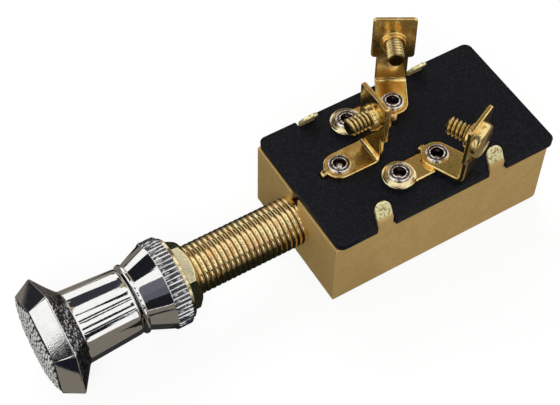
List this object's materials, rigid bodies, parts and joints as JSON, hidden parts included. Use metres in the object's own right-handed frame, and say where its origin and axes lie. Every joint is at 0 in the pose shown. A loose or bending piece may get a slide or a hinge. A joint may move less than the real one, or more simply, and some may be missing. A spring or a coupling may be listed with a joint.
{
  "type": "push-pull switch",
  "caption": "Panel-mounted push-pull electrical switch: folded brass case with a black terminal board, screw terminals, long threaded stem with nuts and a hexagonal chrome pull knob.",
  "frame": {"origin": "on the stem axis, at the outer face of the case's front wall", "axes": "-Y along the stem towards the knob, +Z out of the terminal board, +X to the right-hand terminal as seen from above with the knob at the bottom"},
  "size_m": [0.0329, 0.1012, 0.0353],
  "materials": {
    "case_brass": "dull, fine grained",
    "fibre": "matt fibre sheet",
    "board": "satin laminate",
    "strip_brass": "satin",
    "washer_brass": "polished",
    "rivet_nickel": "nickel plated",
    "screw_brass": "polished",
    "stem_brass": "polished thread",
    "nut_brass": "polished",
    "chrome": "mirror plated",
    "rod_steel": "ground",
    "spring_steel": "bright wire and strip",
    "phenolic": "moulded, matt"
  },
  "bodies": {
    "switch_body": {"case": "case_brass", "insulating_liner": "fibre", "terminal_board": "board", "link_strip_left": "strip_brass", "link_strip_right": "strip_brass", "link_washer_left": "washer_brass", "link_washer_right": "washer_brass", "link_rivet_left": "rivet_nickel", "link_rivet_right": "rivet_nickel", "rivet_common": "rivet_nickel", "rivet_left": "rivet_nickel", "rivet_right": "rivet_nickel", "terminal_common": "strip_brass", "terminal_left": "strip_brass", "terminal_right": "strip_brass", "terminal_screw_common": "screw_brass", "terminal_screw_left": "screw_brass", "terminal_screw_right": "screw_brass", "threaded_stem": "stem_brass", "hex_nut": "nut_brass", "panel_washer": "nut_brass", "face_nut": "chrome", "detent_spring": "spring_steel"},
    "plunger": {"knob": "chrome", "plunger_rod": "rod_steel", "slider": "phenolic", "retaining_ring": "spring_steel", "bridge_contact": "strip_brass", "contact_spring_left": "spring_steel", "contact_spring_right": "spring_steel"}
  },
  "joints": [
    {"name": "knob_pull", "type": "slide", "parent": "switch_body", "child": "plunger", "axis": [0, -1, 0], "range_m": [0, 0.012], "deforming": ["detent_spring"]}
  ]
}
